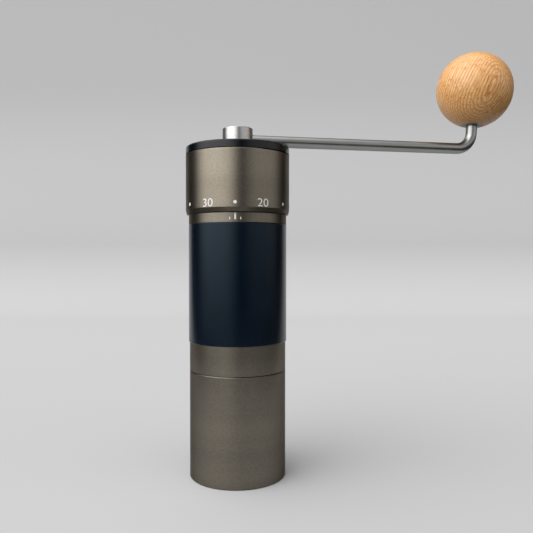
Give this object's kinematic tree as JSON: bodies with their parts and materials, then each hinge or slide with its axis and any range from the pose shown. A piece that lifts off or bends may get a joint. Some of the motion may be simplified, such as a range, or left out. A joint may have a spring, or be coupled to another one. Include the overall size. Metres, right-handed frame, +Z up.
{
  "type": "hand crank coffee grinder",
  "caption": "Cylindrical hand coffee grinder with a metal barrel, rubber grip, numbered adjusting dial, screw-on grounds cup, push-on lid and a bent crank rod with a round wooden knob.",
  "frame": {"origin": "on the grinder's axis at the underside of the grounds cup, where it stands", "axes": "+Z up along the axis, -Y towards the index line at the front; the crank at rest points to +X, turned 10.45 degrees towards +Y"},
  "size_m": [0.1802, 0.0722, 0.2286],
  "materials": {
    "barrel_metal": "satin anodised, fine turning lines",
    "dial_metal": "satin anodised, fine turning lines",
    "cup_metal": "satin anodised, fine turning lines",
    "grip_rubber": "matte",
    "seal_rubber": "matte",
    "lid_plastic": "fine matte grain",
    "burr_steel": "ground",
    "bridge_metal": "machined",
    "bearing_steel": "polished",
    "cage_plastic": "moulded",
    "clip_steel": "stamped",
    "screw_steel": "black oxide",
    "shaft_steel": "turned",
    "spring_steel": "drawn wire",
    "click_brass": "stamped",
    "ball_steel": "polished",
    "washer_plastic": "moulded",
    "bush_brass": "turned",
    "crank_steel": "satin",
    "knob_wood": "oiled, fine grain",
    "knob_collar": "moulded"
  },
  "bodies": {
    "body": {"body_tube": "barrel_metal", "grip_sleeve": "grip_rubber", "ring_burr": "burr_steel", "burr_screws": "screw_steel", "lower_bridge": "bridge_metal", "bridge_screws": "screw_steel", "lower_bearing_outer_race": "bearing_steel", "lower_bearing_clip": "clip_steel", "dial_washer": "washer_plastic", "click_ring": "click_brass", "dial_snap_ring": "clip_steel"},
    "lower_race": {"lower_bearing_inner_race": "bearing_steel", "burr_spring": "spring_steel"},
    "lower_cage": {"lower_bearing_balls": "bearing_steel", "lower_bearing_cage": "cage_plastic"},
    "bridge": {"upper_bridge": "bridge_metal", "upper_bearing_outer_race": "bearing_steel", "upper_bearing_clip": "clip_steel"},
    "upper_cage": {"upper_bearing_balls": "bearing_steel", "upper_bearing_cage": "cage_plastic"},
    "shaft": {"drive_shaft": "shaft_steel", "cone_burr": "burr_steel", "burr_washer": "screw_steel", "burr_bolt": "screw_steel", "shaft_clip": "clip_steel", "upper_bearing_inner_race": "bearing_steel"},
    "dial": {"adjust_dial": "dial_metal", "detent_springs": "spring_steel"},
    "detents": {"detent_balls": "ball_steel"},
    "lid": {"lid": "lid_plastic", "lid_seal": "seal_rubber", "lid_bush": "bush_brass"},
    "crank": {"crank_hub": "crank_steel", "hub_clip": "clip_steel", "crank_rod": "crank_steel", "knob_snap_ring": "clip_steel"},
    "knob": {"wood_knob": "knob_wood", "knob_bush": "knob_collar"},
    "cup_ring": {"cup_seal": "seal_rubber"},
    "cup": {"grounds_cup": "cup_metal"}
  },
  "joints": [
    {"name": "dial_turn", "type": "hinge", "parent": "body", "child": "dial", "pos_m": [0, 0, 0.1], "axis": [0, 0, 1], "range_deg": [-510, 570]},
    {"name": "bridge_lift", "type": "slide", "parent": "body", "child": "bridge", "axis": [0, 0, -1], "range_m": [-0.00142, 0.00158], "deforming": ["burr_spring"]},
    {"name": "shaft_turn", "type": "hinge", "parent": "bridge", "child": "shaft", "pos_m": [0, 0, 0.1], "axis": [0, 0, 1], "continuous": true},
    {"name": "upper_cage_spin", "type": "hinge", "parent": "bridge", "child": "upper_cage", "pos_m": [0, 0, 0.1], "axis": [0, 0, 1], "continuous": true},
    {"name": "lower_race_spin", "type": "hinge", "parent": "body", "child": "lower_race", "pos_m": [0, 0, 0.1], "axis": [0, 0, 1], "continuous": true},
    {"name": "lower_cage_spin", "type": "hinge", "parent": "body", "child": "lower_cage", "pos_m": [0, 0, 0.1], "axis": [0, 0, 1], "continuous": true},
    {"name": "detent_click", "type": "slide", "parent": "dial", "child": "detents", "axis": [0, 0, 1], "range_m": [0, 0.0003], "deforming": ["detent_springs"]},
    {"name": "lid_lift", "type": "slide", "parent": "body", "child": "lid", "axis": [0, 0, 1], "range_m": [0, 0.035]},
    {"name": "crank_turn", "type": "hinge", "parent": "lid", "child": "crank", "pos_m": [0, 0, 0.1], "axis": [0, 0, 1], "continuous": true},
    {"name": "knob_spin", "type": "hinge", "parent": "crank", "child": "knob", "pos_m": [0.13248, 0.02443, 0.20794], "axis": [0.0754, 0.0139, 0.9971], "continuous": true},
    {"name": "cup_drop", "type": "slide", "parent": "body", "child": "cup_ring", "axis": [0, 0, -1], "range_m": [0, 0.006]},
    {"name": "cup_unscrew", "type": "hinge", "parent": "cup_ring", "child": "cup", "pos_m": [0, 0, 0.1], "axis": [0, 0, -1], "range_deg": [0, 720]}
  ],
  "couplings": [
    {"joint": "bridge_lift", "follows": "dial_turn", "m_per_rad": 0.00015915},
    {"joint": "shaft_turn", "follows": "crank_turn", "ratio": 1},
    {"joint": "upper_cage_spin", "follows": "crank_turn", "ratio": 0.401},
    {"joint": "lower_race_spin", "follows": "crank_turn", "ratio": 1},
    {"joint": "lower_cage_spin", "follows": "crank_turn", "ratio": 0.401},
    {"joint": "cup_drop", "follows": "cup_unscrew", "m_per_rad": 0.00047746}
  ]
}
